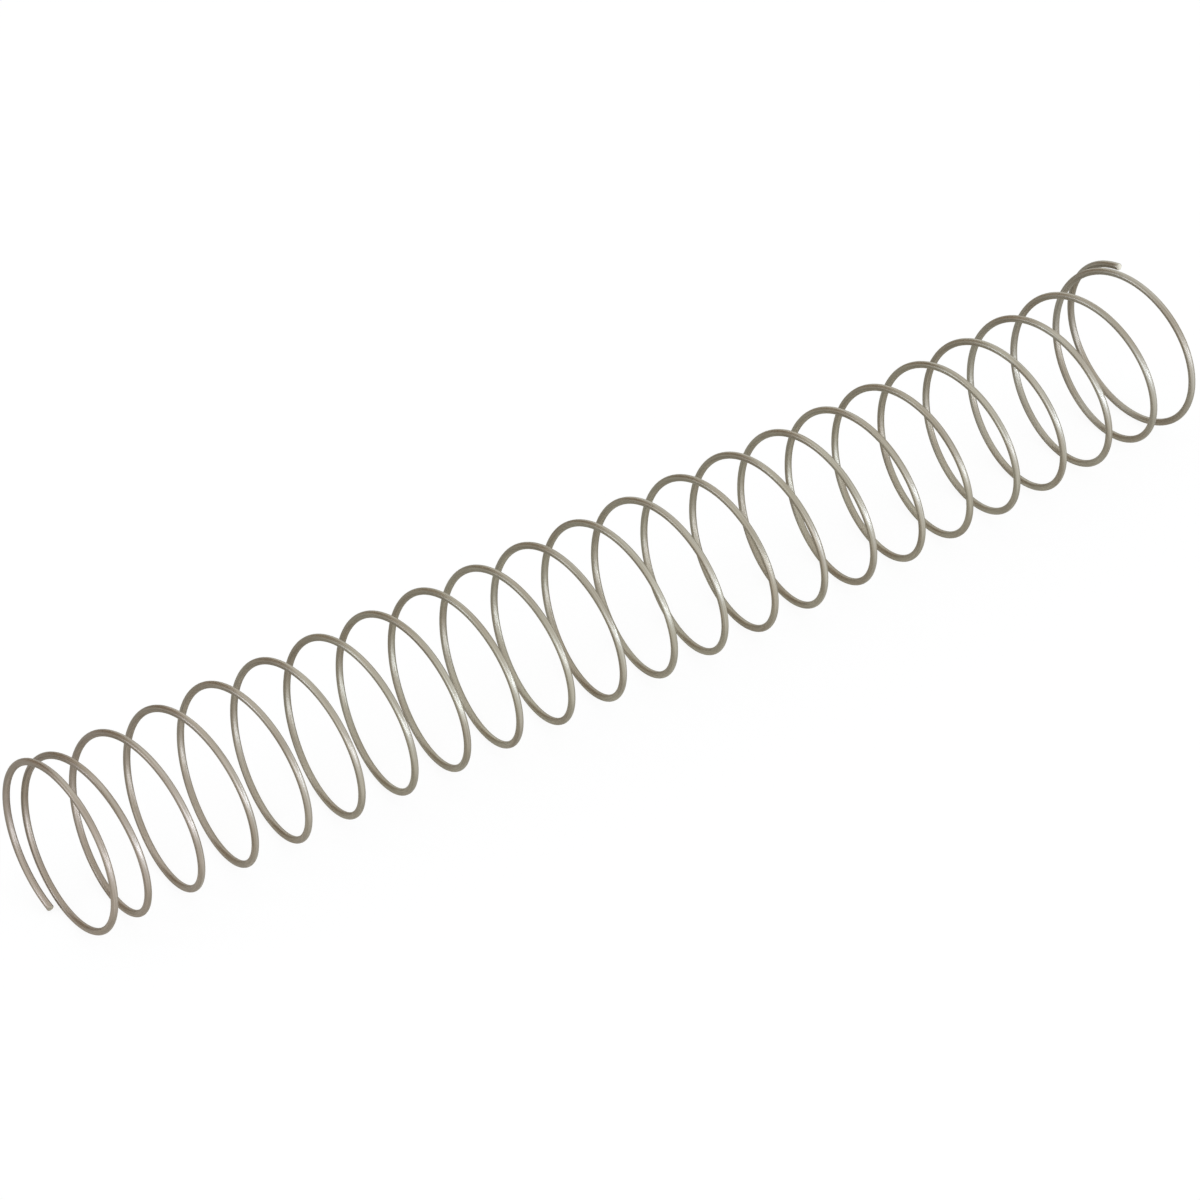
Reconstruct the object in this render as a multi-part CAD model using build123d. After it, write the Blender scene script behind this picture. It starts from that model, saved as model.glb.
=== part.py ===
from build123d import *
from math import cos, pi, sin, sqrt
import os

# A long, soft compression spring, wound right-handed from round stainless wire.
# It lies on its side along X, as it comes to rest on a flat surface, with the origin under its middle.
# Lengths are in millimetres, and a place along the wire is counted in turns from its first tip.

# Wire and coil
wire_diameter = 0.8
mean_coil_diameter = 19.2          # from wire centre to wire centre
pitch = 6.84                       # advance of one open coil
total_turns = 23.43

# Ends: closed by winding the last coils in towards their neighbours, and not ground flat
first_tip_gap = 0.57               # air between a tip and the coil beside it
last_tip_gap = 0.14
first_opening = 2.1                # turns in which the pitch eases from the tip's to the open one
last_opening = 1.41
end_flare = 0.3                    # how much the coil's radius gains at a tip
flare_turns = 1.7

# Lie of the slack spring
first_tip_angle = -168.0           # degrees from the top of the coil, positive towards -Y
sideways_bow = 1.64                # how far the middle stands out of the line of the ends
sideways_drift = 1.32              # how far the last end lies over, more than the first

# How the wire is drawn
wire_flats = 5
points_per_span = 12

coil_radius = mean_coil_diameter / 2
flats_radius = wire_diameter / 2 * sqrt(2 * pi / (wire_flats * sin(2 * pi / wire_flats)))


def opened(turns, opening):
    """Turns gained at the open pitch, this many turns from a tip."""
    share = turns / opening
    if share >= 1:
        return opening * (share - 0.5)
    return opening * (share ** 3 - share ** 4 / 2)


def held_back(turns, tip_gap, opening):
    """Advance lost to the closing of an end, this many turns from its tip."""
    gained = opened(1, opening)
    tip_pitch = (wire_diameter + tip_gap - pitch * gained) / (1 - gained)
    return (pitch - tip_pitch) * (turns - opened(turns, opening))


def advance(turn):
    """Distance along the axis from the first tip."""
    at_first = held_back(turn, first_tip_gap, first_opening)
    at_last = held_back(total_turns, last_tip_gap, last_opening)
    ahead = held_back(total_turns - turn, last_tip_gap, last_opening)
    return pitch * turn - at_first - at_last + ahead


half_length = advance(total_turns) / 2


def flare(turn):
    """Radius that the coil gains towards either tip."""
    share = min(turn, total_turns - turn) / flare_turns
    share = min(max(share, 0), 1)
    return end_flare * (1 - share ** 2 * (3 - 2 * share))


def wire_centre(turn):
    """Centre of the wire: round the coil, on an axis that bows a little sideways.

    All coils rest on one surface, so the centre of a wider one stands higher."""
    x = advance(turn) - half_length
    share = x / half_length
    offset = sideways_bow * share ** 2 + sideways_drift * share ** 3
    slope = (2 * sideways_bow * share + 3 * sideways_drift * share ** 2) / half_length
    angle = first_tip_angle * pi / 180 + 2 * pi * turn
    radius = coil_radius + flare(turn)
    side = -radius * sin(angle)
    up = radius * cos(angle) + flare(turn)
    return Vector(x - slope * side, offset + side, up)


def wire_direction(turn):
    return (wire_centre(turn + 0.001) - wire_centre(turn - 0.001)).normalized()


# The wire's line in spans of about one turn, each drawn through evenly spaced points
spans = round(total_turns)
span = total_turns / spans
line = []
for i in range(spans):
    start = i * span
    places = [wire_centre(start + span * k / points_per_span) for k in range(points_per_span + 1)]
    ends = [wire_direction(start), wire_direction(start + span)]
    line.append(Spline(places, tangents=ends, tangent_scalars=[1, 1]))
wire_line = Wire(line)

# Round wire drawn along it, with both tips cut square. Its section has five small flats and the
# area of the full round, so it departs from round by less than 0.06 mm.
to_axis = wire_centre(0.5) - wire_centre(0)
tip = Plane(origin=wire_centre(0), x_dir=to_axis, z_dir=wire_direction(0))
section = tip * RegularPolygon(flats_radius, wire_flats)
spring = sweep(section, path=wire_line, is_frenet=True)

# Set down on the surface, with its middle over the origin
box = spring.bounding_box()
piston_spring = Pos(-box.center().X, -box.center().Y, -box.min.Z) * spring

os.makedirs("parts", exist_ok=True)
export_step(piston_spring, "parts/piston_spring.step")
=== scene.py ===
from math import cos, pi, radians, sin

import bpy
import numpy as np
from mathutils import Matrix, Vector


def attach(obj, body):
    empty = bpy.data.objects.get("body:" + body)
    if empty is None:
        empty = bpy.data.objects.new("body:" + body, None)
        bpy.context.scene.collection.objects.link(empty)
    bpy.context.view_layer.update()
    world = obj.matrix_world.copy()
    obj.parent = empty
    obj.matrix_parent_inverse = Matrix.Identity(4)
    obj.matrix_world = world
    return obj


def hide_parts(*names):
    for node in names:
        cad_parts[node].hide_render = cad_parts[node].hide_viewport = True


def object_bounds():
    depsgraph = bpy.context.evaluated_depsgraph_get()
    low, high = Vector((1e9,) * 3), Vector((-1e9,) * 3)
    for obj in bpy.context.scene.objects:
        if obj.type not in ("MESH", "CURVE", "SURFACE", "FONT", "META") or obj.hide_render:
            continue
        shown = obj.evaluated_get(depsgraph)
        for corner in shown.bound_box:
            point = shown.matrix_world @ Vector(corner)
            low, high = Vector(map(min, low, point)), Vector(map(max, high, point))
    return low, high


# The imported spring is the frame: it lies on its side along X, and every length here is in metres.
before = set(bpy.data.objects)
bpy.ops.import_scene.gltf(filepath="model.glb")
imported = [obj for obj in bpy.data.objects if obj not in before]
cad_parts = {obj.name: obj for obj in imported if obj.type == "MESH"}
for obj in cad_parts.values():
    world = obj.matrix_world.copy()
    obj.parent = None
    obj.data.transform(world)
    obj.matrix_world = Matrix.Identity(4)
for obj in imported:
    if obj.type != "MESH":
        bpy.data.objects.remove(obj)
cad_low, cad_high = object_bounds()

# Spring wire
# One length of round stainless wire, 0.8 mm thick, drawn through dies and wound cold into a long,
# soft compression spring. Its last coils are closed, and its two ends are sheared off square.
wire_radius = 0.0004
coil_radius = 0.0096               # to the centre of the wire
pitch = 0.00684                    # advance of one open coil
total_turns = 23.43
first_tip_gap = 0.00057            # air between a tip and the coil beside it
last_tip_gap = 0.00014
first_opening = 2.1                # turns in which the pitch eases from the tip's to the open one
last_opening = 1.41
end_flare = 0.0003                 # how much the coil's radius gains at a tip
flare_turns = 1.7
first_tip_angle = radians(-168)    # from the top of the coil, positive towards -Y
sideways_bow = 0.00164             # how far the middle stands out of the line of the ends
sideways_drift = 0.00132           # how far the last end lies over, more than the first
rings_per_turn = 90
points_per_ring = 24
burr_depth = 0.00005               # how far back the shear has rounded the edge of a tip
burr_rings = [(0.0, 0.88), (0.35, 0.96), (1.0, 1.0)]  # shares of that depth and of the radius
turn_step = 0.001                  # either way, to find which way the wire runs


def opened(turns, opening):
    """Turns gained at the open pitch, this many turns from a tip."""
    share = turns / opening
    return opening * np.where(share < 1, share**3 - share**4 / 2, share - 0.5)


def held_back(turns, tip_gap, opening):
    """Advance lost to the closing of an end, this many turns from its tip."""
    gained = opened(1, opening)
    tip_pitch = (2 * wire_radius + tip_gap - pitch * gained) / (1 - gained)
    return (pitch - tip_pitch) * (turns - opened(turns, opening))


def advance(turns):
    """Distance along the axis from the first tip."""
    at_first = held_back(turns, first_tip_gap, first_opening)
    at_last = held_back(total_turns, last_tip_gap, last_opening)
    ahead = held_back(total_turns - turns, last_tip_gap, last_opening)
    return pitch * turns - at_first - at_last + ahead


def flare(turns):
    """Radius that the coil gains towards either tip."""
    share = np.clip(np.minimum(turns, total_turns - turns) / flare_turns, 0, 1)
    return end_flare * (1 - share**2 * (3 - 2 * share))


def wire_line(turns):
    """Centre of the wire: round the coil, on an axis that bows a little sideways.

    All coils rest on one surface, so the centre of a wider one stands higher."""
    half_length = advance(total_turns) / 2
    x = advance(turns) - half_length
    share = x / half_length
    offset = sideways_bow * share**2 + sideways_drift * share**3
    slope = (2 * sideways_bow * share + 3 * sideways_drift * share**2) / half_length
    angle = first_tip_angle + 2 * pi * turns
    radius = coil_radius + flare(turns)
    side = -radius * np.sin(angle)
    up = radius * np.cos(angle) + flare(turns)
    return np.stack([x - slope * side, offset + side, up], axis=1)


def unit(vectors):
    return vectors / np.linalg.norm(vectors, axis=1, keepdims=True)


def wound_wire():
    """Mesh of the wire. Its vertices know how far along and where round the wire they are."""
    ring_count = round(total_turns * rings_per_turn) + 1
    turns = np.linspace(0, total_turns, ring_count)
    centres = wire_line(turns)
    along = unit(wire_line(turns + turn_step) - wire_line(turns - turn_step))
    angle = first_tip_angle + 2 * pi * turns
    outward = np.stack([0 * angle, -np.sin(angle), np.cos(angle)], axis=1)
    outward = unit(outward - along * (outward * along).sum(axis=1, keepdims=True))
    across = np.cross(along, outward)

    # The edge of a tip is rounded in two more rings, close to its flat end
    edge = [(burr_depth * depth, size) for depth, size in burr_rings]
    first = [(centres[0] + along[0] * back, size, 0) for back, size in edge]
    body = [(centres[i], 1.0, i) for i in range(1, ring_count - 1)]
    last = [(centres[-1] - along[-1] * back, size, ring_count - 1) for back, size in reversed(edge)]
    rings = first + body + last

    round_angle = np.arange(points_per_ring) * 2 * pi / points_per_ring
    reach = wire_radius * np.stack([np.cos(round_angle), np.sin(round_angle)], axis=1)
    vertices = []
    places = []
    length = 0.0
    before = rings[0][0]
    for centre, size, i in rings:
        length += np.linalg.norm(centre - before)
        before = centre
        for out, over in reach:
            vertices.append(centre + size * (out * outward[i] + over * across[i]))
            places.append((out, over, length))

    faces = []
    for ring in range(len(rings) - 1):
        for point in range(points_per_ring):
            beside = (point + 1) % points_per_ring
            here = ring * points_per_ring
            there = here + points_per_ring
            faces.append((here + point, here + beside, there + beside, there + point))
    side_count = len(faces)
    faces.append(tuple(reversed(range(points_per_ring))))
    faces.append(tuple(range(len(vertices) - points_per_ring, len(vertices))))

    mesh = bpy.data.meshes.new("piston_spring_wire")
    mesh.from_pydata([tuple(v) for v in vertices], [], faces)
    mesh.polygons.foreach_set("use_smooth", [True] * side_count + [False] * 2)
    mesh.polygons.foreach_set("material_index", [0] * side_count + [1] * 2)
    place = mesh.attributes.new("wire_place", "FLOAT_VECTOR", "POINT")
    place.data.foreach_set("vector", np.array(places, np.float32).ravel())
    mesh.update()
    return mesh


wire = bpy.data.objects.new("piston_spring_wire", wound_wire())
bpy.context.scene.collection.objects.link(wire)

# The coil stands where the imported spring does, box middle on box middle
corners = np.array([v.co for v in wire.data.vertices])
middle = Vector((corners.min(axis=0) + corners.max(axis=0)) / 2)
cad_middle = (cad_low + cad_high) / 2
for vertex in wire.data.vertices:
    vertex.co += cad_middle - middle


class Shade:
    """One output in a material's nodes. Arithmetic on it adds Math nodes, and node() adds any other."""

    def __init__(self, tree, output=None):
        self.tree = tree
        self.output = output

    def node(self, kind, settings, values, out=0):
        made = self.tree.nodes.new(kind)
        for name, setting in settings.items():
            setattr(made, name, setting)
        for socket, value in values.items():
            if isinstance(value, Shade):
                self.tree.links.new(value.output, made.inputs[socket])
            else:
                made.inputs[socket].default_value = value
        return Shade(self.tree, made.outputs[out] if made.outputs else None)

    def math(self, operation, first, second):
        return self.node("ShaderNodeMath", {"operation": operation}, {0: first, 1: second})

    def mix(self, factor, first, second, blend="MIX"):
        """Colour between two colours, or their product."""
        settings = {"data_type": "RGBA", "blend_type": blend}
        values = {"Factor": factor, 6: first, 7: second}
        return self.node("ShaderNodeMix", settings, values, out=2)

    def scaled(self, vector):
        """This vector, stretched by another along each axis."""
        values = {0: self, 1: vector}
        return self.node("ShaderNodeVectorMath", {"operation": "MULTIPLY"}, values)

    def noise(self, vector, scale, detail):
        values = {"Vector": vector, "Scale": scale, "Detail": detail, "Roughness": 0.6}
        return self.node("ShaderNodeTexNoise", {}, values)

    def between(self, low, high):
        """0 below low, 1 above high, and even in between."""
        values = {"Value": self, "From Min": low, "From Max": high}
        return self.node("ShaderNodeMapRange", {}, values)

    def __add__(self, other):
        return self.math("ADD", self, other)

    __radd__ = __add__

    def __sub__(self, other):
        return self.math("SUBTRACT", self, other)

    def __rsub__(self, other):
        return self.math("SUBTRACT", other, self)

    def __mul__(self, other):
        return self.math("MULTIPLY", self, other)

    __rmul__ = __mul__


def new_finish(name):
    """An empty material, and the start of its nodes."""
    finish = bpy.data.materials.new(name)
    finish.use_nodes = True
    finish.node_tree.nodes.clear()
    return finish, Shade(finish.node_tree)


# The drawn skin is a satin grey steel with a thin warm film left by the drawing soap, rosier over
# the first coils, cooler over the last and browner in patches. Fine draw marks run along the wire,
# and the coiling pins have rubbed a brighter track along the outside.
skin_colour = (0.431, 0.404, 0.320, 1)
rosy_skin_colour = (0.430, 0.371, 0.312, 1)
cool_skin_colour = (0.426, 0.402, 0.338, 1)
film_colour = (0.335, 0.285, 0.215, 1)
rubbed_colour = (0.50, 0.48, 0.42, 1)
rosy_fades = (0.126, 0.42)         # along the wire from its first tip
cool_comes = (1.10, 1.40)
mark_width = 0.00012               # size of the draw marks, round the wire and along it
mark_length = 0.006
mark_tone = 0.67                   # of the skin's colour, where the marks are darkest
mark_contrast = 0.68
mark_depth = 0.000001
mark_relief = 0.2
film_width = 1 / 700               # size of its patches, round the wire and along it
film_length = 0.009
film_edges = (0.38, 0.66)          # noise at which the film starts, and at which it is full
film_cover = 0.75
track_edges = (0.72, 0.98)         # shares of the wire's radius, away from the coil's axis
rub_edges = (0.40, 0.60)
rub_cover = 0.5
skin_roughness = 0.35
mark_roughness = 0.05              # added where they are palest
film_roughness = 0.05              # added where the film is full
rub_polish = 0.03                  # taken off where the wire is rubbed


def drawn_steel():
    finish, start = new_finish("drawn_stainless_wire")
    place = start.node("ShaderNodeAttribute", {"attribute_name": "wire_place"}, {}, out="Vector")
    outward = start.node("ShaderNodeSeparateXYZ", {}, {0: place}, out="X")
    length = start.node("ShaderNodeSeparateXYZ", {}, {0: place}, out="Z")

    lengthwise = place.scaled((1 / mark_width, 1 / mark_width, 1 / mark_length))
    marks = start.noise(lengthwise, 1.0, 2.0)
    patches = place.scaled((1 / film_width, 1 / film_width, 1 / film_length))
    film = start.noise(patches, 1.0, 2.0).between(*film_edges)
    rosy = 1 - length.between(*rosy_fades)
    cool = length.between(*cool_comes)

    track = (outward * (1 / wire_radius)).between(*track_edges)
    rub = track * start.noise(lengthwise, 0.5, 1.0).between(*rub_edges)

    colour = start.mix(rosy, skin_colour, rosy_skin_colour)
    colour = start.mix(cool, colour, cool_skin_colour)
    colour = start.mix(film * film_cover, colour, film_colour)
    colour = start.mix(rub * rub_cover, colour, rubbed_colour)
    tone = mark_tone + mark_contrast * marks
    tones = start.node("ShaderNodeCombineColor", {}, {0: tone, 1: tone, 2: tone})
    colour = start.mix(1.0, colour, tones, blend="MULTIPLY")

    roughness = skin_roughness + mark_roughness * marks + film_roughness * film - rub_polish * rub
    bump_values = {"Strength": mark_relief, "Distance": mark_depth, "Height": marks}
    bump = start.node("ShaderNodeBump", {}, bump_values)
    surface_values = {
        "Base Color": colour,
        "Metallic": 1.0,
        "Roughness": roughness,
        "Normal": bump,
    }
    surface = start.node("ShaderNodeBsdfPrincipled", {}, surface_values)
    start.node("ShaderNodeOutputMaterial", {}, {"Surface": surface})
    return finish


# A sheared tip shows bare bright metal: smooth where the blade cut, and torn below.
cut_colour = (0.66, 0.62, 0.51, 1)
torn_colour = (0.50, 0.47, 0.39, 1)
torn_edges = (-0.2, 0.5)           # shares of the wire's radius, across the tip
tear_size = 0.00012
tear_depth = 0.00002
tear_relief = 0.6
tear_cover = 0.4                   # least share of the torn colour, where it is torn
cut_roughness = 0.56
torn_roughness = 0.12              # added where it is torn


def sheared_steel():
    finish, start = new_finish("sheared_stainless_tip")
    place = start.node("ShaderNodeAttribute", {"attribute_name": "wire_place"}, {}, out="Vector")
    across = start.node("ShaderNodeSeparateXYZ", {}, {0: place}, out="Y")
    torn = (across * (1 / wire_radius)).between(*torn_edges)
    grit = start.noise(place.scaled((1 / tear_size,) * 3), 1.0, 4.0)
    bump_values = {"Strength": tear_relief, "Distance": tear_depth, "Height": grit * torn}
    bump = start.node("ShaderNodeBump", {}, bump_values)
    torn_share = torn * (tear_cover + (1 - tear_cover) * grit)
    surface_values = {
        "Base Color": start.mix(torn_share, cut_colour, torn_colour),
        "Metallic": 1.0,
        "Roughness": cut_roughness + torn_roughness * torn,
        "Normal": bump,
    }
    surface = start.node("ShaderNodeBsdfPrincipled", {}, surface_values)
    start.node("ShaderNodeOutputMaterial", {}, {"Surface": surface})
    return finish


wire.data.materials.append(drawn_steel())
wire.data.materials.append(sheared_steel())
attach(wire, "root")
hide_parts("piston_spring")

# Table top
# A plain white sheet under the spring, large enough to be the whole background from above.
# It is matt, shows white wherever it is seen, and keeps a faint shadow of the coils.
table_half_width = 3.0
table_white = (0.80, 0.80, 0.80, 1)
table_glow = 1.10
shadow_kept = 0.2


def white_sheet():
    finish, start = new_finish("white_table_top")
    path = "ShaderNodeLightPath"
    seen = start.node(path, {}, {}, out="Is Camera Ray")
    seen = seen + start.node(path, {}, {}, out="Is Glossy Ray")
    seen = seen + start.node(path, {}, {}, out="Is Transmission Ray")
    matt = start.node("ShaderNodeBsdfDiffuse", {}, {"Color": table_white})
    glow = start.node("ShaderNodeEmission", {}, {"Color": (1, 1, 1, 1), "Strength": table_glow})
    values = {"Fac": seen * (1 - shadow_kept), 1: matt, 2: glow}
    start.node("ShaderNodeOutputMaterial", {}, {"Surface": start.node("ShaderNodeMixShader", {}, values)})
    return finish


table_height = min(vertex.co.z for vertex in wire.data.vertices)
table_mesh = bpy.data.meshes.new("table_top")
signs = [(-1, -1), (1, -1), (1, 1), (-1, 1)]
table_corners = [(x * table_half_width, y * table_half_width, table_height) for x, y in signs]
table_mesh.from_pydata(table_corners, [], [(0, 1, 2, 3)])
table = bpy.data.objects.new("table_top", table_mesh)
bpy.context.scene.collection.objects.link(table)
table_mesh.materials.append(white_sheet())

# Painted shadow card, cloth and screen
# What shows darker than the white sheet in the wire: a pale card under the spring, which is painted
# shadow standing for the spring's own shade on the sheet; a grey cloth laid from it to the back; and a
# brown screen standing there. They show only in the wire, as the darker tone along its underside and
# far side: the camera doesn't see them, and they cast no shadow.
# The pale card's colour is painted shadow: the spring's shade on the sheet, as the wire mirrors it.
painted_shadow_colour = (0.885, 0.860, 0.800, 1)
cloth_colour = (0.645, 0.632, 0.589, 1)
screen_colour = (0.440, 0.345, 0.245, 1)
card_front = -0.015                # along Y
card_back = 0.008
card_lift = 0.0001
cloth_half_width = 0.9
screen_place = 0.6                 # along Y
screen_ends = (-1.08, 0.112)       # along X
screen_height = 0.645


def flat_piece(name, colour, corners):
    """A flat piece in one matt colour, which shows in the wire only."""
    finish, start = new_finish(name)
    matt = start.node("ShaderNodeBsdfDiffuse", {}, {"Color": colour})
    start.node("ShaderNodeOutputMaterial", {}, {"Surface": matt})
    mesh = bpy.data.meshes.new(name)
    mesh.from_pydata(corners, [], [(0, 1, 2, 3)])
    mesh.materials.append(finish)
    piece = bpy.data.objects.new(name, mesh)
    bpy.context.scene.collection.objects.link(piece)
    piece.visible_camera = False
    piece.visible_diffuse = False
    piece.visible_shadow = False


lying = table_height + card_lift
# The pale card is painted shadow, laid where the spring's shade falls on the sheet.
laid = {
    "painted_shadow_card": (painted_shadow_colour, card_front, card_back),
    "grey_cloth": (cloth_colour, card_back, screen_place),
}
for name, (colour, near, far) in laid.items():
    outline = [(-1, near), (1, near), (1, far), (-1, far)]
    flat_piece(name, colour, [(side * cloth_half_width, y, lying) for side, y in outline])

left, right = screen_ends
outline = [(left, 0), (right, 0), (right, screen_height), (left, screen_height)]
flat_piece("brown_screen", screen_colour, [(x, screen_place, table_height + up) for x, up in outline])

# Studio light
# A white room lights the spring evenly. Three long low windows stand side by side on its near side
# and draw the bright patch on each coil. A small lamp past its first end draws the spark on each crown.
room_strength = 0.75
daylight = (0.86, 0.99, 1.28)
lamps_away = 0.7

# The turn is in degrees from +X towards +Y, and the rise in degrees from the table
lamps = {
    "left_window": {"turn": -129, "rise": 2.2, "size": (0.523, 0.065), "watts": 0.80},
    "middle_window": {"turn": -88, "rise": 2.2, "size": (0.523, 0.065), "watts": 0.80},
    "right_window": {"turn": -47, "rise": 2.2, "size": (0.523, 0.065), "watts": 0.80},
    "small_lamp": {"turn": 159, "rise": 16.3, "size": (0.16, 0.16), "watts": 0.40},
}

world = bpy.data.worlds.new("white_room")
bpy.context.scene.world = world
world.use_nodes = True
world.node_tree.nodes.clear()
room = Shade(world.node_tree)
room_seen = room.node("ShaderNodeLightPath", {}, {}, out="Is Camera Ray")
room_seen = room_seen + room.node("ShaderNodeLightPath", {}, {}, out="Is Glossy Ray")
room_seen = room_seen + room.node("ShaderNodeLightPath", {}, {}, out="Is Transmission Ray")
room_values = {"Color": (1, 1, 1, 1), "Strength": room_strength + (1 - room_strength) * room_seen}
backdrop = room.node("ShaderNodeBackground", {}, room_values)
room.node("ShaderNodeOutputWorld", {}, {"Surface": backdrop})

for name, lamp in lamps.items():
    light = bpy.data.lights.new(name, "AREA")
    light.shape = "RECTANGLE"
    light.size, light.size_y = lamp["size"]
    light.energy = lamp["watts"]
    light.color = daylight
    turn, rise = radians(lamp["turn"]), radians(lamp["rise"])
    towards = Vector((cos(turn) * cos(rise), sin(turn) * cos(rise), sin(rise)))
    stand = bpy.data.objects.new(name, light)
    stand.location = cad_middle + towards * lamps_away
    stand.rotation_euler = towards.to_track_quat("Z", "Y").to_euler()
    bpy.context.scene.collection.objects.link(stand)

# Camera
# It looks down along the spring from its first end and near side, through a long lens.
camera_aim = Vector((-0.0032, -0.0007, 0.0100))
camera_turn = radians(-36.10)      # 0 stands at -Y and looks along +Y
camera_rise = radians(38.47)
camera_distance = 0.8416
camera_data = bpy.data.cameras.new("camera")
camera_data.lens = 231.0
camera_data.sensor_width = 36.0
camera_data.clip_start = 0.05
camera_data.clip_end = 20
camera = bpy.data.objects.new("camera", camera_data)
back = Vector(
    (
        sin(camera_turn) * cos(camera_rise),
        -cos(camera_turn) * cos(camera_rise),
        sin(camera_rise),
    )
)
camera.location = camera_aim + back * camera_distance
camera.rotation_euler = back.to_track_quat("Z", "Y").to_euler()
bpy.context.scene.collection.objects.link(camera)
bpy.context.scene.camera = camera
bpy.context.scene.view_settings.view_transform = "Standard"
